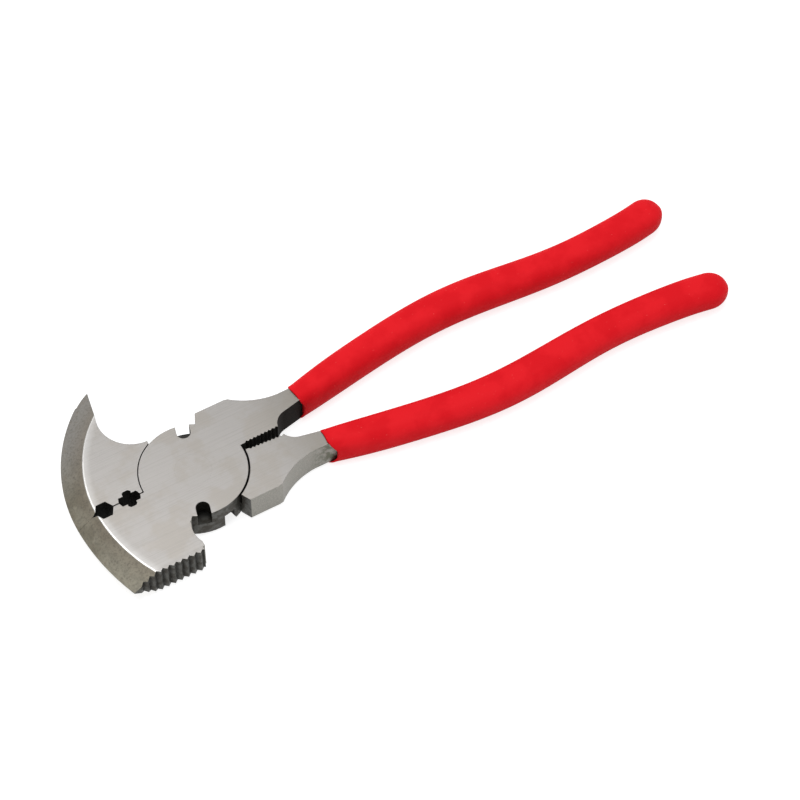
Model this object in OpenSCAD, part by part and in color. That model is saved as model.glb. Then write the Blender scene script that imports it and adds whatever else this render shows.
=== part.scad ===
// Fencing pliers: two drop-forged levers lapped round one flush rivet, with slid-on vinyl grips.
// X runs from the blade towards the handles, Y across the tool, Z up through its thickness.
// The origin is on the pivot axis, in the ground underside of the head. The jaws are closed.

/* [Head] */
// Thickness of the head across its two ground faces
head_t = 12; // [11:0.25:13]
// Radius of the pivot disc that each lever carries
disc_r = 20; // [19.8:0.05:20.1]
// Height of the line on which the two levers meet at the blade
split_y = 0.4; // [0:0.1:0.8]
// Width of the open seam between the splicing holes and the disc
seam_gap = 0.45; // [0.2:0.05:0.6]
// Width of the closed seam across the blade's bevels
blade_seam = 0.06; // [0.04:0.01:0.1]
// Flat left along the cutting edge, measured across the bevel
edge_land = 0.25; // [0.1:0.05:0.5]

/* [Hammer] */
// Distance of the striking face from the pivot
face_y = 32.8; // [31:0.1:34]
// Number of grooves in the striking face
face_grooves = 10; // [6:1:10]
// Spacing of the grooves
groove_pitch = 2.67; // [2.4:0.01:2.7]
// Depth of the grooves
groove_depth = 1.1; // [0.6:0.05:1.3]

/* [Splicing holes] */
// Circumscribed radius of the hexagonal hole
hex_r = 3.7; // [3.2:0.1:4]
// Length of the cross-shaped hole's arm along the seam
cross_long = 8.6; // [7.6:0.1:9]
// Width of the arm along the seam
cross_long_w = 3.9; // [3.2:0.1:4.2]
// Length of the arm across the seam
cross_wide = 7.2; // [6.4:0.1:8]
// Width of the arm across the seam
cross_wide_w = 3.4; // [2.6:0.1:3.8]

/* [Joint] */
// Gap between the two lapped discs
lap_gap = 0.06; // [0.04:0.01:0.1]
// Gap between a disc's rim and the other lever's head
cheek_gap = 0.35; // [0.25:0.05:0.5]
// Gap between a disc's rim and the other lever's shank
shank_gap = 0.75; // [0.5:0.05:0.9]
// Radius of the rivet's shank
rivet_r = 5; // [4:0.25:6]
// Radius of the rivet's countersunk heads at the ground faces
rivet_head_r = 6.8; // [6.4:0.1:8]
// Running clearance between the rivet and the hammer lever
rivet_clear = 0.03; // [0.02:0.01:0.08]
// Width of the wire-cutter notches in the discs' rims
notch_w = 5.2; // [4.6:0.1:5.6]
// Distance of a notch's bottom from the pivot
notch_floor = 14.2; // [13.6:0.1:15]

/* [Pipe jaws] */
// Number of teeth on each jaw
jaw_teeth = 9; // [6:1:9]
// Spacing of the jaw teeth
tooth_pitch = 1.54; // [1.3:0.01:1.56]
// Depth of the jaw teeth
tooth_depth = 0.6; // [0.4:0.05:0.8]

/* [Handles] */
// Distance from the pivot to the tip of the hammer lever's grip
hammer_tip_x = 213.4; // [200:0.2:220]
// Distance from the pivot to the tip of the claw lever's grip
claw_tip_x = 216.2; // [200:0.2:222]
// Thickness of the steel inside the grip
tang_t = 9; // [7:0.5:9.5]
// Thickness of the vinyl at the blind end of the grip
end_wall = 4; // [3:0.5:6]

/* [Hidden] */

steel = [0.72, 0.71, 0.69];
rivet_steel = [0.66, 0.65, 0.63];
vinyl = [0.86, 0.13, 0.15];

mid_z = head_t / 2;
// How far a cut runs past the face that it opens, and the span of cutting shapes without a size of their own.
past = 1;
span = 60;
// Height of a disc that only marks a level of a cone.
skin = 0.01;
$fn = 96;
// Facets of the exact rims that run against each other, and of the long, flat arcs.
rim_fn = 180;
arc_fn = 360;

// Blade: cutting edge arc and bevel ridge arc of each lever, as [centre x, centre y, radius].
claw_edge = [17.8, -0.4, 64.9];
claw_ridge = [12.6, -0.5, 51.7];
hammer_edge = [46.7, -0.7, 93.8];
hammer_ridge = [30.3, -0.8, 69.4];
bevel_fn = 240;

// Claw: the hollow under the hook, the hook's straight back and its blunt nose.
hook_c = [-8.1, 33];
hook_r = 13.5;
hook_lean = 14;
hook_w = 26;
hook_len = 36;
hook_overlap = 0.05;
nose_c = [-8, 29.7];
nose_r = 24.6;
nose_y = 48.9;
claw_root_x = -8.8;

// Hammer: hollow of the neck and right-hand wall of the poll.
neck_c = [-2.35, -24.4];
neck_r = 10;
poll_x = -11.35;
poll_corner = [1, 2];
first_groove_x = -12.9;
neck_y = -19;

// Seam: where the open seam between the splicing holes closes up on the bevel.
seam_end_x = -36;

// Splicing holes: centres along the seam, chamfer of the cross, and the nick in the hexagon's outer corner.
hex_x = -35.95;
cross_x = -25.8;
cross_chamfer = 0.7;
nick_base = [0.8, 1];
nick_tip = [1.3, 0.1];

// Shank: end wall, top flat, concave run down to the tang, and throat between the tangs.
shank_x = 10;
shank_top = 21.65;
shank_corners = [[shank_x, 17.8], [11.9, shank_top], [23.8, shank_top], [25.3, 21.35], [26.7, 20.5]];
shank_back_x = 44;
waist_c = [44, 42.6];
waist_r = 28.3;
tang_y = waist_c[1] - waist_r;
throat_x = 42;
throat_r = 6.43;
throat_lean = 11.9;

// Jaws: each lever's line of teeth, from its root to its end, and the first tooth's distance along it.
hammer_jaw = [[20, 1.1], [35.8, 1.35]];
claw_jaw = [[20, 1.5], [35.8, 2.4]];
first_tooth = 2.75;
jaw_end_gap = 0.2;

// Handle path: start point, start heading, then arcs as [length, bend in degrees].
path_start = [48.4, 11.2];
path_heading = 12.9;
path_arcs = [[46.1, -4.7], [47.7, -15.6], [90, 22]];

// Grip sections along the path, as [distance, half width, half thickness].
grip_sections = [[0, 4.9, 7], [5, 5.55, 7.1], [20, 6.2, 6.8], [40, 6.5, 6.5], [60, 6.75, 6.4],
    [80, 7, 6.4], [100, 6.7, 6.3], [120, 6.4, 6.2], [140, 6.5, 6.1], [170, 6.8, 6]];
grip_power = 2.7;
grip_sides = 32;
grip_step = 4;
cap_len = 8;
cap_rings = 7;
// Share of the last ring's step that is left flat at the tip.
tip_flat = 0.4;

// Tang: half width at the mouth, how much it swells, and where its faces thin down along it.
tang_half_w = 3.25;
tang_swell = 1.1;
tang_taper = [6, 30];
tang_step = 5;
tang_root = 10;
tang_join = [1.5, 0.1];

hammer_angles = [74.6, -105.9];
claw_angles = [76.4, -105.9];

// ---------- Handle path ----------
function clamp(v, low, high) = min(max(v, low), high);

// End of an arc of the given length and bend that starts at p with heading h.
function arc_end(p, h, len, bend) =
    p + len * 180 / (PI * bend) * [sin(h + bend) - sin(h), cos(h) - cos(h + bend)];

function path_point(s, i = 0, p = path_start, h = path_heading) =
    let (len = path_arcs[i][0], bend = path_arcs[i][1])
    s <= 0 ? p
    : s <= len || i == len(path_arcs) - 1 ? arc_end(p, h, s, bend * s / len)
    : path_point(s - len, i + 1, arc_end(p, h, len, bend), h + bend);

function path_angle(s, i = 0, h = path_heading) =
    let (len = path_arcs[i][0], bend = path_arcs[i][1])
    s <= len || i == len(path_arcs) - 1 ? h + bend * max(s, 0) / len
    : path_angle(s - len, i + 1, h + bend);

function path_side(s, w) = path_point(s) + w * [-sin(path_angle(s)), cos(path_angle(s))];

// Distance along the path at which it reaches x, by a few secant-like corrections.
function path_at_x(x, s = 160, n = 6) =
    n == 0 ? s : path_at_x(x, s + (x - path_point(s)[0]) / cos(path_angle(s)), n - 1);

// ---------- Grip ----------
function grip_half(s, i) = lookup(s, [for (g = grip_sections) [g[0], g[i]]]);

// Shrink factor that rounds off the last stretch of the grip.
function cap_scale(s, end) = sqrt(max(0, 1 - pow(max(0, s - end + cap_len) / cap_len, 2)));

function signed_power(v, e) = sign(v) * pow(abs(v), e);

function grip_ring(s, end) =
    let (k = cap_scale(s, end), a = grip_half(s, 1) * k, b = grip_half(s, 2) * k)
    [for (i = [0:grip_sides - 1])
        let (t = 360 * i / grip_sides,
            q = path_side(s, a * signed_power(cos(t), 2 / grip_power)))
        [q[0], q[1], mid_z + b * signed_power(sin(t), 2 / grip_power)]];

module grip_body(end) {
    straight = end - cap_len;
    count = round(straight / grip_step);
    rings = concat(
        [for (i = [0:count]) straight * i / count],
        [for (i = [1:cap_rings]) straight + cap_len * sin(90 * i / (cap_rings + tip_flat))]);
    last = len(rings) - 1;
    points = [for (s = rings) each grip_ring(s, end)];
    walls = [for (r = [0:last - 1], i = [0:grip_sides - 1])
        let (j = (i + 1) % grip_sides, a = r * grip_sides, b = a + grip_sides)
        each [[a + i, b + j, a + j], [a + i, b + i, b + j]]];
    mouth = [for (i = [0:grip_sides - 1]) i];
    tip = [for (i = [grip_sides - 1:-1:0]) last * grip_sides + i];
    polyhedron(points, concat(walls, [mouth, tip]), convexity = 4);
}

module grip(tip_x) {
    end = path_at_x(tip_x);
    difference() {
        grip_body(end);
        tang(end);
    }
}

// ---------- Steel inside the grip ----------
function tang_half(s) = tang_half_w + tang_swell * clamp(s / tang_taper[1], 0, 1);

module tang_plan(end) {
    stations = [for (s = [-tang_step:tang_step:end]) s];
    near = [for (s = stations) path_side(s < 0 ? 0 : s, -tang_half(s)) + [min(s, 0), 0]];
    far = [for (s = stations) path_side(s < 0 ? 0 : s, tang_half(s)) + [min(s, 0), 0]];
    polygon(concat(near, [for (i = [len(far) - 1:-1:0]) far[i]]));
}

module tang(end) {
    thin = (head_t - tang_t) / 2;
    x0 = path_start[0];
    x1 = path_point(end)[0];
    side = [[x0 - tang_root, 0], [x0 + tang_taper[0], 0], [x0 + tang_taper[1], thin], [x1, thin],
        [x1, head_t - thin], [x0 + tang_taper[1], head_t - thin], [x0 + tang_taper[0], head_t],
        [x0 - tang_root, head_t]];
    intersection() {
        linear_extrude(height = head_t) tang_plan(end - end_wall - cap_len / 2);
        translate([0, span, 0]) rotate([90, 0, 0]) linear_extrude(height = 2 * span) polygon(side);
    }
}

// ---------- Half joint that both levers share ----------
module vee_row(count, pitch, depth) {
    for (i = [0:count - 1])
        translate([i * pitch, 0]) polygon([[-pitch / 2, 0], [0, depth], [pitch / 2, 0], [0, -depth]]);
}

module jaw_line_cut(jaw) {
    run = jaw[1] - jaw[0];
    translate(jaw[0]) rotate(atan2(run[1], run[0])) {
        translate([-span, -disc_r]) square([span + disc_r, disc_r]);
        translate([first_tooth, 0]) vee_row(jaw_teeth, tooth_pitch, tooth_depth);
    }
}

module throat() {
    touch = throat_r * [-sin(throat_lean), cos(throat_lean)];
    reach = disc_r;
    rise = touch[1] + (reach - touch[0]) * tan(throat_lean);
    translate([throat_x, 0]) {
        circle(r = throat_r);
        polygon([touch, [reach, rise], [reach, -rise], [touch[0], -touch[1]]]);
    }
}

module shank_plan(jaw) {
    back = [[shank_back_x, shank_corners[4][1]], [shank_back_x, tang_y],
        [path_start[0] - tang_join[0], tang_y + tang_join[1]]];
    inside = [path_side(0, tang_half_w), path_side(0, -tang_half_w), [jaw[1][0] + jaw_end_gap, 0]];
    difference() {
        polygon(concat([[shank_x, 0]], shank_corners, back, inside));
        translate(waist_c) circle(r = waist_r, $fn = rim_fn);
        jaw_line_cut(jaw);
        throat();
    }
}

module cutter_notch(angle) {
    seat = notch_floor + notch_w / 2;
    rotate(angle) translate([seat, 0]) {
        circle(d = notch_w);
        translate([0, -notch_w / 2]) square([disc_r, notch_w]);
    }
}

// Disc on the upper half of the thickness, shank and tang at full thickness on the +Y side.
module half_joint(tip_x, angles, jaw) {
    lap_z = mid_z + lap_gap / 2;
    difference() {
        translate([0, 0, lap_z]) cylinder(r = disc_r, h = head_t - lap_z, $fn = rim_fn);
        for (a = angles) linear_extrude(height = head_t + past) cutter_notch(a);
    }
    difference() {
        union() {
            linear_extrude(height = head_t) shank_plan(jaw);
            tang(path_at_x(tip_x));
        }
        translate([0, 0, -past]) cylinder(r = disc_r + shank_gap, h = lap_z + past, $fn = rim_fn);
        for (a = angles) linear_extrude(height = head_t + past) cutter_notch(a);
    }
}

// Turns a part over about the X axis, which swaps the two levers' places in the joint.
module turned_over() {
    translate([0, 0, head_t]) rotate([180, 0, 0]) children();
}

// ---------- Heads ----------
// Slanted cone whose outline is the cutting edge at mid thickness and the ridge at the top face.
module bevel_cone(edge, ridge) {
    hull()
        for (z = [-past, head_t + past]) {
            k = (z - mid_z) / mid_z;
            c = edge + (ridge - edge) * k;
            translate([c[0], c[1], z]) cylinder(r = c[2], h = skin, $fn = bevel_fn);
        }
}

module bevelled(edge, ridge) {
    intersection() {
        children();
        bevel_cone(edge, ridge);
        translate([0, 0, head_t]) mirror([0, 0, 1]) bevel_cone(edge, ridge);
    }
}

module edge_plan(edge) {
    translate([edge[0], edge[1]]) circle(r = edge[2] - edge_land, $fn = arc_fn);
}

module seam_edge(side) {
    wide = side * seam_gap / 2;
    tight = side * blade_seam / 2;
    far = side * span;
    translate([0, split_y])
        polygon([[-span, tight], [seam_end_x, tight], [seam_end_x, wide], [0, wide], [0, far], [-span, far]]);
}

module hammer_plan() {
    difference() {
        intersection() {
            edge_plan(hammer_edge);
            seam_edge(-1);
            union() {
                translate([-span, -face_y + poll_corner[1]]) square([span + poll_x, span]);
                translate([-span, -face_y]) square([span + poll_x - poll_corner[0], span]);
                translate([poll_x - past, neck_y]) square([past - poll_x, disc_r]);
            }
        }
        translate(neck_c) circle(r = neck_r);
        translate([first_groove_x - (face_grooves - 1) * groove_pitch, -face_y])
            vee_row(face_grooves, groove_pitch, groove_depth);
    }
}

module hook_hollow() {
    translate(hook_c) {
        circle(r = hook_r);
        rotate(-hook_lean) translate([hook_overlap - hook_r, 0]) square([hook_w, hook_len]);
    }
}

module claw_plan() {
    difference() {
        intersection() {
            edge_plan(claw_edge);
            seam_edge(1);
            union() {
                translate(nose_c) circle(r = nose_r);
                translate([-span, 0]) square([span, nose_y]);
            }
            translate([-span, 0]) square([span + claw_root_x, span]);
        }
        hook_hollow();
    }
}

module splicing_holes() {
    a = cross_long / 2;
    b = cross_long_w / 2;
    c = cross_wide / 2;
    d = cross_wide_w / 2;
    e = cross_chamfer;
    translate([hex_x, split_y]) {
        circle(r = hex_r, $fn = 6);
        polygon([[nick_base[0] - hex_r, nick_base[1]], [-hex_r - nick_tip[0], -nick_tip[1]],
            [nick_base[0] - hex_r, -nick_base[1]]]);
    }
    translate([cross_x, split_y]) {
        polygon([[-a, 0], [-a + e, b], [a - e, b], [a, 0], [a - e, -b], [-a + e, -b]]);
        polygon([[-d, -c + e], [-d + e, -c], [d - e, -c], [d, -c + e],
            [d, c - e], [d - e, c], [-d + e, c], [-d, c - e]]);
    }
}

// Cuts a plan right through the thickness.
module through() {
    translate([0, 0, -past]) linear_extrude(height = head_t + 2 * past) children();
}

// ---------- Rivet ----------
// Countersunk at both ends and ground flush; extra widens it all round.
module rivet_form(extra) {
    sink = rivet_head_r - rivet_r;
    rotate_extrude($fn = rim_fn)
        polygon([[0, 0], [rivet_head_r + extra, 0], [rivet_r + extra, sink],
            [rivet_r + extra, head_t - sink], [rivet_head_r + extra, head_t], [0, head_t]]);
}

// ---------- Parts ----------
module hammer_lever() {
    color(steel) difference() {
        union() {
            half_joint(hammer_tip_x, hammer_angles, hammer_jaw);
            difference() {
                bevelled(hammer_edge, hammer_ridge)
                    linear_extrude(height = head_t) hammer_plan();
                translate([0, 0, -past])
                    cylinder(r = disc_r + cheek_gap, h = mid_z + lap_gap / 2 + past, $fn = rim_fn);
                through() cutter_notch(hammer_angles[1]);
            }
        }
        through() splicing_holes();
        rivet_form(rivet_clear);
    }
}

module claw_lever() {
    color(steel) difference() {
        union() {
            turned_over() half_joint(claw_tip_x, claw_angles, claw_jaw);
            difference() {
                bevelled(claw_edge, claw_ridge)
                    linear_extrude(height = head_t) claw_plan();
                translate([0, 0, mid_z - lap_gap / 2])
                    cylinder(r = disc_r + cheek_gap, h = head_t, $fn = rim_fn);
            }
        }
        through() splicing_holes();
        rivet_form(0);
    }
}

module pivot_rivet() {
    color(rivet_steel) rivet_form(0);
}

module hammer_grip() {
    color(vinyl) grip(hammer_tip_x);
}

module claw_grip() {
    color(vinyl) turned_over() grip(claw_tip_x);
}

hammer_lever();
claw_lever();
pivot_rivet();
hammer_grip();
claw_grip();
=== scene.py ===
"""Fencing pliers: materials, vinyl grips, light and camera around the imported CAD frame.

Lengths are in metres, and lengths written with MM are in millimetres.
Material graphs work in millimetres, on each part's own coordinates, so their patterns ride with the part.
"""
import math

import bpy
import numpy as np
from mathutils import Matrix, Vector
from mathutils.bvhtree import BVHTree


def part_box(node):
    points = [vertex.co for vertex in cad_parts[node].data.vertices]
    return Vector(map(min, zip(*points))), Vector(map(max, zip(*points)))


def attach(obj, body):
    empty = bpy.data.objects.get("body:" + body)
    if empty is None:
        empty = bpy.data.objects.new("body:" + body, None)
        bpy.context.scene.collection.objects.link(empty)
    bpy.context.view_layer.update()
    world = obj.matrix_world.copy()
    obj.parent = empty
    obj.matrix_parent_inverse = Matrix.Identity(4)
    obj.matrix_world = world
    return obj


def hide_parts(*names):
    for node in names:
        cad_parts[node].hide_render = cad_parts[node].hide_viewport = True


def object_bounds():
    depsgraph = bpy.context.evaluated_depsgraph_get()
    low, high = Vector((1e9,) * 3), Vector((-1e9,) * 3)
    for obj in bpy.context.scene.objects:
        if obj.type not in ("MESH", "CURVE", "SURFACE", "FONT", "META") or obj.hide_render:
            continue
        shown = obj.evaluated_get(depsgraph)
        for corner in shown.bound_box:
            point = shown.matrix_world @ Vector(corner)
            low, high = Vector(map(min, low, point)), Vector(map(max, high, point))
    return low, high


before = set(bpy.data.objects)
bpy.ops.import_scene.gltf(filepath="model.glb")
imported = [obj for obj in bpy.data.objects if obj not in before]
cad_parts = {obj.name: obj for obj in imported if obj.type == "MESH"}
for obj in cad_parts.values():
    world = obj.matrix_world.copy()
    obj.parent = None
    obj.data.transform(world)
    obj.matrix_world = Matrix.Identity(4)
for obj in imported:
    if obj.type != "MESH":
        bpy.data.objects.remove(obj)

MM = 0.001
cad_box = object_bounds()

# ---------- Zones of the steel, in mm on the levers as they lie at rest ----------
DISC_R = 20.0            # radius of the pivot discs
RIM_ZONE = 21.4          # machined walls lie within this distance of the pivot axis
NOTCH_ZONE = 18.8        # and the notches' walls within this one
RIVET_ZONE = (9.0, 11.0)  # edges nearer than this stay sharp, so the flush rivet shows no ring
SHANK_END = 12.1         # the shanks' end walls lie at a smaller x than this
SHANK_END_Y = 17.0       # and further from the tool's middle line than this
JAW_X = (19.0, 37.2)     # the jaws' teeth, along the tool
JAW_Y = 4.2              # and across it
HOLE_X = (-41.0, -20.5)  # the splicing holes, along the tool
HOLE_Y = 4.6             # and across it
SEAM_Y = (0.12, 0.68)    # the walls on which the two blade halves meet, across the tool
GROOVE_ZONE = 1.6        # depth of the striking face's dark zone
VALLEY = (0.2, 1.2)      # its grooves are painted black between these depths, as shade
MOUTH_X = 48.4           # where the grips begin, along the tool
STAIN_X = 38.4           # the walls are stained from here to the grips
TAN_SHADE_X = 26.0             # and the ground faces are painted darker and tan from here, as shade by the grips
THROAT_X = (34.5, 37.5)  # the tangs' inner walls turn black between these, along the tool
TANG_Y = 9.6             # and lie nearer to its middle line than this
LAP_Z = (4.0, 8.0)       # heights between which the discs' lapped faces lie
GLOW = 3.5               # the ground faces carry a painted highlight within this distance of the ridge
RIDGE_INSET = 0.15       # the polished line, painted brighter still as a highlight, lies this far inside the ridge
RIDGE_LINE = (0.05, 0.55)  # its half width where it is full and where it has faded
RIDGE_Y = (2.0, 30.0)    # it and its painted highlight weaken between these, across the tool
BROWN = 7.0              # the bevels are brown within this distance of the ridge
SHADE_Y = (-22.0, -4.0)  # they darken between these, across the tool
GREY_Y = (8.0, 36.0)     # and turn grey between these
GROUND_FACING = (0.975, 0.99)  # upward share of the normal at which a face counts as ground
BEVEL_FACING = (0.6, 0.97)  # that of the bevels
WALL_FACING = (0.3, 0.6)  # and that at which a face stops being a wall
EDGE_R = 0.18            # rounding of the edges
RIDGE_R = 0.50           # rounding of the ridge
RELIEF = 0.10            # depth of the texture

# ---------- Camera ----------
VIEW_TURN = 29.68        # the camera stands this far round from straight in front of the tool, degrees
VIEW_DOWN = 55.48        # and looks down by this much, degrees
VIEW_DISTANCE = 1.2694   # metres
VIEW_LENS = 153.4        # mm, on a sensor this wide
VIEW_SENSOR = 36.0
VIEW_AIM = (84.5 * MM, -3.3 * MM, 0.0)  # the point on the tool's underside plane that it looks at


# ---------- Material graphs ----------
class Graph:
    """One material's node tree, with short calls for the nodes that the materials use."""

    def __init__(self, name):
        self.material = bpy.data.materials.new(name)
        self.material.use_nodes = True
        self.tree = self.material.node_tree
        self.tree.nodes.clear()

    def node(self, kind, **settings):
        made = self.tree.nodes.new("ShaderNode" + kind)
        for key, value in settings.items():
            setattr(made, key, value)
        return made

    def put(self, socket, value):
        """Links value to the socket if it is a socket, or else sets the socket's own value."""
        if isinstance(value, bpy.types.NodeSocket):
            self.tree.links.new(value, socket)
        else:
            socket.default_value = value

    def math(self, operation, a, b=0.0):
        made = self.node("Math", operation=operation)
        self.put(made.inputs[0], a)
        self.put(made.inputs[1], b)
        return made.outputs[0]

    def add(self, a, b):
        return self.math("ADD", a, b)

    def times(self, a, b):
        return self.math("MULTIPLY", a, b)

    def either(self, a, b):
        return self.math("MAXIMUM", a, b)

    def inverse(self, a):
        return self.math("SUBTRACT", 1.0, a)

    def rise(self, value, low, high, start=0.0, end=1.0):
        """Smooth step from start, where value is low, to end, where it is high."""
        made = self.node("MapRange", interpolation_type="SMOOTHSTEP")
        for socket, number in zip(made.inputs, (value, low, high, start, end)):
            self.put(socket, number)
        return made.outputs[0]

    def fall(self, value, low, high):
        """Smooth step from 1, where value is low, to 0, where it is high."""
        return self.rise(value, low, high, 1.0, 0.0)

    def band(self, value, low, high, soft):
        """1 between low and high, and 0 beyond them, with soft edges."""
        return self.times(self.rise(value, low - soft, low + soft),
                          self.fall(value, high - soft, high + soft))

    def blend(self, factor, a, b):
        """Colour a where factor is 0, colour b where it is 1."""
        made = self.node("Mix", data_type="RGBA")
        self.put(made.inputs["Factor"], factor)
        self.put(made.inputs[6], a)
        self.put(made.inputs[7], b)
        return made.outputs[2]

    def mix(self, factor, a, b):
        """Number a where factor is 0, number b where it is 1."""
        made = self.node("Mix", data_type="FLOAT")
        for i, value in ((0, factor), (2, a), (3, b)):
            self.put(made.inputs[i], value)
        return made.outputs[0]

    def place(self):
        """This point's place on its own part, in mm."""
        made = self.node("VectorMath", operation="SCALE")
        self.put(made.inputs[0], self.node("TexCoord").outputs["Object"])
        made.inputs["Scale"].default_value = 1 / MM
        return made.outputs[0]

    def parts_of(self, vector):
        made = self.node("SeparateXYZ")
        self.put(made.inputs[0], vector)
        return made.outputs

    def noise(self, place, per_mm, detail=3.0, roughness=0.55, offset=(0.0, 0.0, 0.0)):
        """Noise with so many features a millimetre along each axis, from about 0.3 to 0.7."""
        mapping = self.node("Mapping")
        self.put(mapping.inputs["Vector"], place)
        mapping.inputs["Location"].default_value = offset
        mapping.inputs["Scale"].default_value = per_mm if hasattr(per_mm, "__len__") else (per_mm,) * 3
        made = self.node("TexNoise")
        self.put(made.inputs["Vector"], mapping.outputs[0])
        made.inputs["Scale"].default_value = 1.0
        made.inputs["Detail"].default_value = detail
        made.inputs["Roughness"].default_value = roughness
        return made.outputs["Fac"]

    def bump(self, height, depth_mm, normal=None):
        made = self.node("Bump")
        made.inputs["Distance"].default_value = depth_mm * MM
        self.put(made.inputs["Height"], height)
        if normal is not None:
            self.put(made.inputs["Normal"], normal)
        return made.outputs[0]

    def surface(self, color, roughness, normal, metallic=0.0, **constants):
        """Finishes the material with one Principled shader."""
        shader = self.node("BsdfPrincipled")
        self.put(shader.inputs["Base Color"], color)
        self.put(shader.inputs["Roughness"], roughness)
        self.put(shader.inputs["Metallic"], metallic)
        self.put(shader.inputs["Normal"], normal)
        for key, value in constants.items():
            shader.inputs[key.replace("_", " ")].default_value = value
        self.put(self.node("OutputMaterial").inputs["Surface"], shader.outputs[0])
        return self.material


# ---------- Steel ----------
GROUND = (0.303, 0.290, 0.276, 1)
GROUND_WARM = (0.283, 0.264, 0.240, 1)
GROUND_STREAK = (0.240, 0.229, 0.216, 1)
GROUND_TAN_SHADE = (0.205, 0.190, 0.164, 1)
GROUND_PAINTED_GLOW = (0.480, 0.470, 0.460, 1)
BEVEL_OLIVE = (0.385, 0.358, 0.282, 1)
BEVEL_DARK = (0.245, 0.222, 0.166, 1)
BEVEL_GREY = (0.335, 0.318, 0.290, 1)
BEVEL_BROWN = (0.285, 0.240, 0.186, 1)
BEVEL_GRAIN = (0.165, 0.152, 0.126, 1)
FORGED = (0.310, 0.297, 0.268, 1)
FORGED_DARK = (0.205, 0.200, 0.178, 1)
MACHINED = (0.090, 0.089, 0.082, 1)
MACHINED_BROWN = (0.046, 0.042, 0.035, 1)
BLACK_AND_SHADE = (0.008, 0.0075, 0.0065, 1)
SOOT_AND_SHADE = (0.024, 0.022, 0.018, 1)
STAIN = (0.105, 0.112, 0.080, 1)
POLISH_AND_HIGHLIGHT = (0.900, 0.890, 0.860, 1)


def ridge_circle(node):
    """Centre and radius, in mm, of the ridge between a head's ground face and its bevel."""
    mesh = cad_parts[node].data
    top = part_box(node)[1].z
    found = set()
    for face in mesh.polygons:
        beyond_joint = math.hypot(face.center.x, face.center.y) > (DISC_R + 5) * MM
        if beyond_joint and BEVEL_FACING[0] < face.normal.z < BEVEL_FACING[1]:
            found.update(v for v in face.vertices if mesh.vertices[v].co.z > top - 0.01 * MM)
    points = np.array([mesh.vertices[v].co[:2] for v in sorted(found)], float) / MM
    left = np.column_stack([2 * points, np.ones(len(points))])
    cx, cy, rest = np.linalg.lstsq(left, (points ** 2).sum(1), rcond=None)[0]
    return cx, cy, math.sqrt(rest + cx * cx + cy * cy)


def distance_to(g, x, y, cx=0.0, cy=0.0):
    dx = g.math("SUBTRACT", x, cx)
    dy = g.math("SUBTRACT", y, cy)
    return g.math("SQRT", g.add(g.times(dx, dx), g.times(dy, dy)))


def ground_color(g, place, x, streak, beyond_ridge):
    """Surface-ground faces: fine lengthwise lines under faint warm clouds, painted shade that makes them
    darker and tan by the grips, and a painted glow by the ridge.
    """
    cloud = g.noise(place, 0.07, detail=4.0, roughness=0.6)
    color = g.blend(g.rise(cloud, 0.44, 0.60, 0.0, 0.8), GROUND, GROUND_WARM)
    color = g.blend(g.rise(streak, 0.47, 0.72, 0.0, 0.40), color, GROUND_STREAK)
    # painted shade: the ground faces darken towards the grips
    color = g.blend(g.rise(x, TAN_SHADE_X, MOUTH_X, 0.0, 0.60), color, GROUND_TAN_SHADE)
    # painted highlight: the ground faces lighten towards the ridge
    return g.blend(g.rise(beyond_ridge, -GLOW, 0.0, 0.0, 0.5), color, GROUND_PAINTED_GLOW)


def bevel_color(g, place, y, beyond_ridge):
    """Bevels: brown by the ridge, then olive that fades to grey towards the hook's tip."""
    grain = g.noise(place, 1.2, detail=4.0, roughness=0.7, offset=(2.0, 9.0, 4.0))
    patches = g.noise(place, 0.12, detail=4.0, offset=(3.0, 7.0, 1.0))
    spots = g.noise(place, 0.50, detail=3.0, offset=(11.0, 2.0, 5.0))
    shade = g.times(g.rise(patches, 0.38, 0.62, 1.0, 0.3), g.rise(y, *SHADE_Y))
    color = g.blend(shade, BEVEL_OLIVE, BEVEL_DARK)
    color = g.blend(g.rise(y, *GREY_Y), color, BEVEL_GREY)
    brown = g.either(g.rise(beyond_ridge, 0.0, BROWN, 0.55, 0.0), g.rise(spots, 0.52, 0.72, 0.0, 0.45))
    color = g.blend(brown, color, BEVEL_BROWN)
    return g.blend(g.rise(grain, 0.44, 0.68, 0.0, 0.6), color, BEVEL_GRAIN)


def dark_zones(g, x, y, radius):
    """Masks of the walls that are machined and of those painted black: a blackened finish, and painted
    shade in the holes, notches, grooves and the jaws' gap.
    """
    face_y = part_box("hammer_lever")[0].y / MM
    across = g.math("ABSOLUTE", y)
    rim = g.fall(radius, RIM_ZONE - 0.3, RIM_ZONE)
    shank_end = g.times(g.band(x, 0.0, SHANK_END, 0.1), g.rise(across, SHANK_END_Y, SHANK_END_Y + 0.4))
    poll = g.fall(y, face_y + GROOVE_ZONE, face_y + GROOVE_ZONE + 0.2)
    seam = g.times(g.rise(x, -DISC_R, HOLE_X[1]), g.band(y, *SEAM_Y, 0.05))

    jaws = g.times(g.band(x, *JAW_X, 0.2), g.fall(across, JAW_Y - 0.2, JAW_Y))
    holes = g.times(g.band(x, *HOLE_X, 0.3), g.fall(across, HOLE_Y - 0.3, HOLE_Y))
    holes = g.times(holes, g.inverse(seam))
    notches = g.fall(radius, NOTCH_ZONE, NOTCH_ZONE + 0.8)
    tangs = g.times(g.rise(x, *THROAT_X), g.fall(across, TANG_Y, TANG_Y + 0.5))
    valleys = g.times(poll, g.rise(y, face_y + VALLEY[0], face_y + VALLEY[1], 0.0, 0.55))

    machined = g.either(g.either(rim, seam), g.either(shank_end, poll))
    # black: partly a blackened finish, partly painted shade in the recesses
    black = g.either(g.either(jaws, holes), g.either(notches, g.either(tangs, valleys)))
    return machined, black


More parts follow.
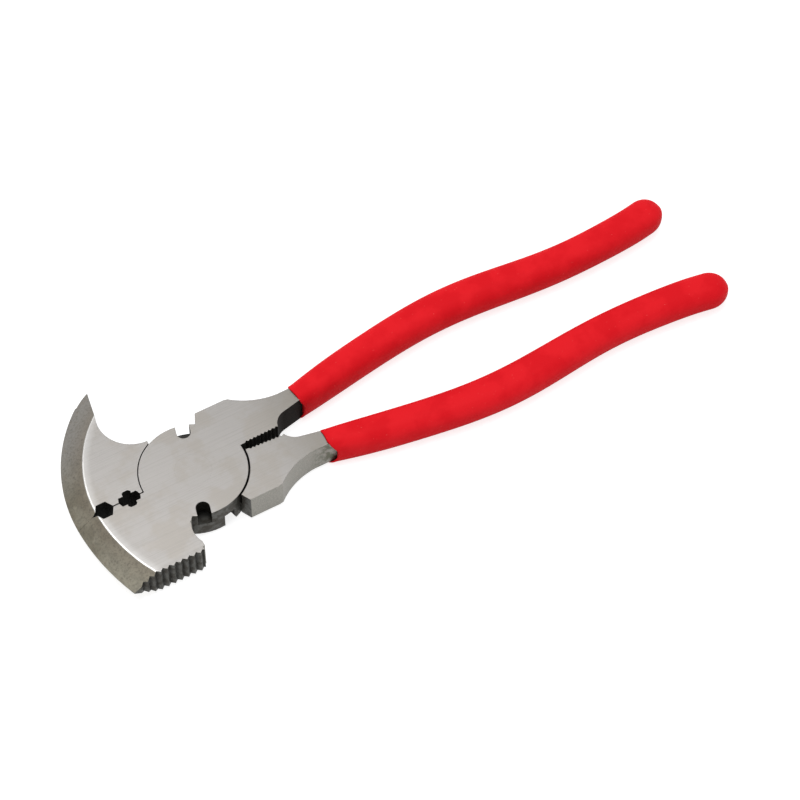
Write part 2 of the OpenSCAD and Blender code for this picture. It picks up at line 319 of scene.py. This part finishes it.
def wall_color(g, x, grain, lumps, machined, is_machined, is_black_and_shade):
    """Walls: as forged with stains by the grips, or machined and dark, or black, partly a blackened
    finish and partly painted shade.
    """
    near_grip = g.times(g.rise(x, STAIN_X, MOUTH_X), g.rise(lumps, 0.40, 0.58))
    color = g.blend(g.rise(grain, 0.35, 0.65), FORGED_DARK, FORGED)
    color = g.blend(g.times(near_grip, 0.85), color, STAIN)
    color = g.blend(is_machined, color, machined)
    return g.blend(is_black_and_shade, color, g.blend(g.rise(grain, 0.40, 0.62), BLACK_AND_SHADE, SOOT_AND_SHADE))


def steel(name, ridge, rounded=True):
    """Drop-forged steel: ground faces, mottled bevels, as-forged walls and cuts painted black, partly a
    blackened finish and partly painted shade.
    """
    g = Graph(name)
    place = g.place()
    x, y, z = g.parts_of(place)
    facing = g.math("ABSOLUTE", g.parts_of(g.node("NewGeometry").outputs["True Normal"])[2])
    is_ground = g.rise(facing, *GROUND_FACING)
    is_wall = g.fall(facing, *WALL_FACING)
    radius = distance_to(g, x, y)
    beyond_ridge = g.math("SUBTRACT", distance_to(g, x, y, *ridge[:2]), ridge[2])
    is_machined, is_black_and_shade = dark_zones(g, x, y, radius)

    streak = g.noise(place, (0.03, 2.4, 2.4), detail=5.0, roughness=0.7)
    grain = g.noise(place, 2.2, detail=5.0, roughness=0.65)
    lumps = g.noise(place, 0.35, detail=3.0, offset=(5.0, 1.0, 9.0))

    machined = g.blend(g.rise(lumps, 0.42, 0.60), MACHINED, MACHINED_BROWN)
    color = g.blend(is_ground, bevel_color(g, place, y, beyond_ridge),
                    ground_color(g, place, x, streak, beyond_ridge))
    # the lapped faces, seen inside the notches, are painted near black: machined finish and painted shade
    on_lap = g.times(g.band(z, *LAP_Z, 0.2), is_ground)
    color = g.blend(on_lap, color, g.blend(0.7, machined, BLACK_AND_SHADE))
    color = g.blend(is_wall, color, wall_color(g, x, grain, lumps, machined, is_machined, is_black_and_shade))
    rough = g.mix(is_ground, g.rise(lumps, 0.35, 0.65, 0.36, 0.50), g.rise(streak, 0.3, 0.7, 0.30, 0.42))
    rough = g.mix(is_wall, rough, g.rise(grain, 0.35, 0.65, 0.42, 0.58))

    off_line = g.math("ABSOLUTE", g.add(beyond_ridge, RIDGE_INSET))
    on_line = g.times(g.fall(off_line, *RIDGE_LINE), g.inverse(is_wall))
    on_line = g.times(on_line, g.rise(y, *RIDGE_Y, 1.0, 0.22))
    on_line = g.times(on_line, g.rise(lumps, 0.35, 0.65, 0.75, 1.0))
    # the ridge line: real polish, painted brighter still as a highlight
    color = g.blend(g.times(on_line, 0.8), color, POLISH_AND_HIGHLIGHT)
    rough = g.mix(on_line, rough, 0.30)

    normal = None
    if rounded:
        rounding = g.node("Bevel", samples=6)
        sharp_r = g.rise(radius, *RIVET_ZONE, 0.0, EDGE_R * MM)
        g.put(rounding.inputs["Radius"], g.mix(on_line, sharp_r, RIDGE_R * MM))
        normal = rounding.outputs[0]
    relief = g.mix(is_wall, g.mix(is_ground, g.times(lumps, 0.6), g.times(streak, 0.10)),
                   g.add(g.times(grain, 0.5), g.times(lumps, 0.6)))
    normal = g.bump(relief, RELIEF, normal)
    metallic = g.inverse(g.times(is_wall, is_black_and_shade))
    return g.surface(color, rough, normal, metallic, Specular_IOR_Level=0.02)


# ---------- Vinyl ----------
VINYL = (0.700, 0.0130, 0.0190, 1)
VINYL_DEEP = (0.640, 0.0095, 0.0150, 1)
VINYL_PAINTED_SHADE = (0.340, 0.0015, 0.0040, 1)
VINYL_SPECK = (0.800, 0.110, 0.100, 1)


def vinyl(name):
    """Dip-moulded red vinyl: soft gloss, faint clouds, a pebbled skin, a few specks and painted shade on
    its downward-facing sides.
    """
    g = Graph(name)
    place = g.place()
    cloud = g.noise(place, 0.10, detail=3.0)
    pebble = g.noise(place, 1.3, detail=2.0)
    waves = g.noise(place, (0.05, 0.28, 0.28), detail=1.0)
    speck = g.noise(place, 1.9, detail=0.0, offset=(4.0, 8.0, 2.0))
    color = g.blend(g.rise(cloud, 0.38, 0.62), VINYL, VINYL_DEEP)
    upward = g.parts_of(g.node("NewGeometry").outputs["Normal"])[2]
    # painted shade: darker red where the skin faces down
    color = g.blend(g.rise(upward, -0.60, 0.50, 0.95, 0.0), color, VINYL_PAINTED_SHADE)
    color = g.blend(g.rise(speck, 0.83, 0.88, 0.0, 0.7), color, VINYL_SPECK)
    rough = g.rise(pebble, 0.3, 0.7, 0.38, 0.54)
    relief = g.add(g.times(pebble, 0.12), waves)
    normal = g.bump(relief, 0.20)
    return g.surface(color, rough, normal, Specular_IOR_Level=0.02)


# ---------- Grips ----------
GRIP_SIDES = 72          # corners of each ring
GRIP_STEP = 1.6 * MM     # distance between the rings of the body
OUTER_POWER = 2.7        # superellipse power of the grip's section
POCKET_POWER = 9.0       # and of its pocket, which is nearly a rectangle
RECESS_FADE = 26 * MM    # the shape of the mouth's edge dies out over this length
LIP_R = 0.5 * MM         # rounding of the mouth's rim
LIP_GAP = 0.3 * MM       # opening between the mouth's rim and the steel
CAP = 8.0 * MM           # length of the rounded end
NIB_R = 0.9 * MM         # radius of the drip nib at the tip
LIP_TURNS = (90, 65, 40, 20, 0)  # degrees round the lip at which it has a ring
CAP_TURNS = range(6, 84, 6)      # and round the end
NIB_RINGS = ((1.0, 0.0), (0.85, 0.45), (0.5, 0.85))  # (radius, height) of the nib's rings, as shares
POCKET_STEP = 4 * MM     # distance between the rings of the pocket
POCKET_GAP = 0.04 * MM   # opening between the pocket and the steel
MEASURE_STEP = 2 * MM    # distance between the places at which a CAD grip is measured
MEASURE_FROM = 3 * MM    # the first of them lies this far past the mouth
MEASURE_TO = 10 * MM     # and the last this far before the tip
DEGREES = (9, 8, 6)      # of the curves through the measured course, widths and thicknesses
HOLLOW = 0.85            # the pocket is there where its width is less than this share of the grip's
FAR = 1.0                # rays start this far out


def cast(tree, x, y, z, direction):
    """The point at which a ray meets the tree's mesh."""
    return tree.ray_cast(Vector((x, y, z)), Vector(direction))[0]


class Sleeve:
    """The course and sections of one CAD grip, measured on its mesh."""

    def __init__(self, node):
        low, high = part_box(node)
        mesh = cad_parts[node].data
        tree = BVHTree.FromPolygons([v.co for v in mesh.vertices], [f.vertices for f in mesh.polygons])
        self.mid = (low.z + high.z) / 2
        fit = np.polynomial.Chebyshev.fit
        xs = np.arange(low.x + MEASURE_FROM, high.x - MEASURE_TO, MEASURE_STEP)
        near_y = np.array([cast(tree, x, -FAR, self.mid, (0, 1, 0)).y for x in xs])
        far_y = np.array([cast(tree, x, FAR, self.mid, (0, -1, 0)).y for x in xs])
        course = fit(xs, (near_y + far_y) / 2, DEGREES[0])
        self.xy = np.column_stack([xs, course(xs)])
        self.angle = np.arctan(course.deriv()(xs))
        steps = np.hypot(*np.diff(self.xy, axis=0).T)
        self.along = np.concatenate([[0], np.cumsum(steps)])
        self.half_w = fit(xs, (far_y - near_y) / 2 * np.cos(self.angle), DEGREES[1])(xs)
        top = np.array([cast(tree, x, y, FAR, (0, 0, -1)).z for x, y in self.xy])
        self.half_t = fit(xs, top - self.mid, DEGREES[2])(xs)
        pocket_y = np.array([cast(tree, x, y, self.mid, (0, 1, 0)).y for x, y in self.xy])
        pocket_z = np.array([cast(tree, x, y, self.mid, (0, 0, 1)).z for x, y in self.xy])
        self.pocket_w = (pocket_y - self.xy[:, 1]) * np.cos(self.angle)
        self.pocket_t = pocket_z - self.mid
        hollow = self.pocket_w < HOLLOW * self.half_w
        self.pocket_end = self.along[hollow].max()
        heading = self.angle[0]
        slant = self.half_w[0] * abs(math.sin(heading))
        self.start = -(xs[0] - low.x - slant) / math.cos(heading)
        self.end = self.along[-1] + (high.x - xs[-1]) / math.cos(self.angle[-1])

    def point(self, s, side, up):
        """The point at s along the sleeve, side to its left and up above its middle."""
        last = len(self.along) - 1
        inside = min(max(s, 0.0), self.along[last])
        angle = np.interp(inside, self.along, self.angle)
        x, y = (np.interp(inside, self.along, self.xy[:, i]) for i in (0, 1))
        over = s - inside
        x += over * math.cos(angle) - side * math.sin(angle)
        y += over * math.sin(angle) + side * math.cos(angle)
        return x, y, self.mid + up

    def half(self, s):
        return np.interp(s, self.along, self.half_w), np.interp(s, self.along, self.half_t)

    def pocket(self, s):
        s = min(s, self.pocket_end)
        return np.interp(s, self.along, self.pocket_w), np.interp(s, self.along, self.pocket_t)


def signed_power(value, power):
    return math.copysign(abs(value) ** power, value)


def section(width, thickness, power, turn):
    """The point of a superellipse at an angle."""
    return (width * signed_power(math.cos(turn), 2 / power),
            thickness * signed_power(math.sin(turn), 2 / power))


def mouth_recess(turn, mouth):
    """How far the mouth's edge steps back at this angle round the sleeve."""
    shift, lean, bow = mouth
    return shift - lean * math.cos(turn) + bow * math.cos(turn) ** 6


def outer_rings(sleeve):
    """(distance along the sleeve, scale, inset) of each ring from the mouth's rim to the tip."""
    rings = [(sleeve.start + LIP_R * (1 - math.sin(a)), 1, LIP_R * (1 - math.cos(a)))
             for a in map(math.radians, LIP_TURNS)]
    straight = sleeve.end - CAP
    run = straight - sleeve.start - LIP_R
    count = round(run / GRIP_STEP)
    rings += [(sleeve.start + LIP_R + run * i / count, 1, 0) for i in range(1, count + 1)]
    rings += [(straight + CAP * math.sin(a), math.cos(a), 0) for a in map(math.radians, CAP_TURNS)]
    return rings


def sleeve_mesh(name, sleeve, mouth, nib):
    """The grip as one closed skin: pocket, rounded mouth, body and domed tip with its nib."""
    turns = [2 * math.pi * i / GRIP_SIDES for i in range(GRIP_SIDES)]
    points, rings = [], []

    def add_ring(place):
        rings.append(range(len(points), len(points) + GRIP_SIDES))
        points.extend(place(turn) for turn in turns)

    def slid(s, turn):
        fade = max(0.0, 1 - (s - sleeve.start) / RECESS_FADE) ** 2
        return s + mouth_recess(turn, mouth) * fade

    def pocket_place(s, gap, turn):
        width, thickness = sleeve.pocket(s)
        side, up = section(width + gap, thickness + gap, POCKET_POWER, turn)
        return sleeve.point(slid(s, turn), side, up)

    def outer_place(ring, turn):
        s, scale, inset = ring
        width, thickness = sleeve.half(s)
        side, up = section(width * scale - inset, thickness * scale - inset, OUTER_POWER, turn)
        return sleeve.point(slid(s, turn), side, up)

    depths = np.arange(sleeve.pocket_end, sleeve.start + 4 * LIP_R, -POCKET_STEP)
    stations = [(s, POCKET_GAP) for s in depths]
    for s, gap in [*stations, (sleeve.start + 3 * LIP_R, POCKET_GAP), (sleeve.start, LIP_GAP)]:
        add_ring(lambda turn, s=s, gap=gap: pocket_place(s, gap, turn))
    for ring in outer_rings(sleeve):
        add_ring(lambda turn, ring=ring: outer_place(ring, turn))
    for scale, rise in NIB_RINGS:
        add_ring(lambda turn, radius=scale * NIB_R, rise=rise: sleeve.point(
            sleeve.end + nib * rise, radius * math.cos(turn), radius * math.sin(turn)))

    faces = [(a[i], b[i], b[(i + 1) % GRIP_SIDES], a[(i + 1) % GRIP_SIDES])
             for a, b in zip(rings, rings[1:]) for i in range(GRIP_SIDES)]
    faces.append(tuple(rings[0]))
    faces.append(tuple(reversed(rings[-1])))
    mesh = bpy.data.meshes.new(name)
    mesh.from_pydata(points, [], faces)
    mesh.validate()
    mesh.polygons.foreach_set("use_smooth", [True] * len(mesh.polygons))
    return mesh


def build_grip(node, body, material, mouth, nib):
    """mouth is (shift, lean across the grip, bow on the side walls) of its edge, in mm."""
    name = node.replace("grip", "vinyl_grip")
    grip = bpy.data.objects.new(name, sleeve_mesh(name, Sleeve(node), [MM * v for v in mouth], nib))
    bpy.context.scene.collection.objects.link(grip)
    grip.data.materials.append(material)
    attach(grip, body)
    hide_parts(node)
    return grip


# ---------- Stage ----------
PAPER = ((0.44, 0.44, 0.44, 1), (0.48, 0.48, 0.48, 1))
PAPER_GLOW = 0.76        # light that the paper gives of itself, as from a light table below it
FLOOR_REACH = 6.0        # metres from the middle to each side
SKY = (0.97, 0.98, 1.0, 1)
SKY_STRENGTH = 0.62
LAMP_DIRECTION = (-0.08, 0.14, 1.0)
LAMP_DISTANCE = 1.6      # metres
LAMP_SIZE = 1.2          # metres
LAMP_POWER = 17.0        # watts


def paper_white():
    g = Graph("paper_white")
    fibre = g.noise(g.place(), 0.4, detail=4.0)
    color = g.blend(g.rise(fibre, 0.3, 0.7), *PAPER)
    normal = g.bump(fibre, 0.02)
    return g.surface(color, 0.95, normal, Emission_Color=(1, 1, 1, 1), Emission_Strength=PAPER_GLOW)


def build_floor(z):
    mesh = bpy.data.meshes.new("floor")
    corners = [(x * FLOOR_REACH, y * FLOOR_REACH, z) for x, y in ((-1, -1), (1, -1), (1, 1), (-1, 1))]
    mesh.from_pydata(corners, [], [(0, 1, 2, 3)])
    floor = bpy.data.objects.new("floor", mesh)
    bpy.context.scene.collection.objects.link(floor)
    mesh.materials.append(paper_white())


def area_light(name, target, direction, distance, size, power):
    """A square softbox that shines at target from the given direction."""
    data = bpy.data.lights.new(name, "AREA")
    data.shape = "SQUARE"
    data.size = size
    data.energy = power
    light = bpy.data.objects.new(name, data)
    bpy.context.scene.collection.objects.link(light)
    away = Vector(direction).normalized()
    light.location = target + away * distance
    light.rotation_euler = away.to_track_quat("Z", "Y").to_euler()


def build_light(target):
    world = bpy.data.worlds.new("studio")
    world.use_nodes = True
    background = world.node_tree.nodes["Background"]
    background.inputs["Color"].default_value = SKY
    background.inputs["Strength"].default_value = SKY_STRENGTH
    bpy.context.scene.world = world
    area_light("overhead", target, LAMP_DIRECTION, LAMP_DISTANCE, LAMP_SIZE, LAMP_POWER)
    bpy.context.scene.view_settings.view_transform = "Standard"


def build_camera():
    data = bpy.data.cameras.new("camera")
    data.lens = VIEW_LENS
    data.sensor_width = VIEW_SENSOR
    camera = bpy.data.objects.new("camera", data)
    bpy.context.scene.collection.objects.link(camera)
    turn, down = math.radians(VIEW_TURN), math.radians(VIEW_DOWN)
    look = Vector((math.sin(turn) * math.cos(down), math.cos(turn) * math.cos(down), -math.sin(down)))
    camera.location = Vector(VIEW_AIM) - look * VIEW_DISTANCE
    camera.rotation_euler = look.to_track_quat("-Z", "Y").to_euler()
    bpy.context.scene.camera = camera


def finish_node(node, material):
    """Gives a CAD node its material, in place of the materials it came with."""
    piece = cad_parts[node]
    piece.data.materials.clear()
    piece.data.materials.append(material)


hammer_ridge = ridge_circle("hammer_lever")
finish_node("hammer_lever", steel("hammer_steel", hammer_ridge))
finish_node("claw_lever", steel("claw_steel", ridge_circle("claw_lever")))
finish_node("pivot_rivet", steel("rivet_steel", hammer_ridge, rounded=False))
red_vinyl = vinyl("red_vinyl")
build_grip("hammer_grip", "hammer_half", red_vinyl, mouth=(-0.65, -0.3, 1.4), nib=0.5 * MM)
build_grip("claw_grip", "claw_half", red_vinyl, mouth=(0.0, 1.2, 2.2), nib=0.1 * MM)

low, high = cad_box
build_floor(low.z)
build_light((low + high) / 2)
build_camera()
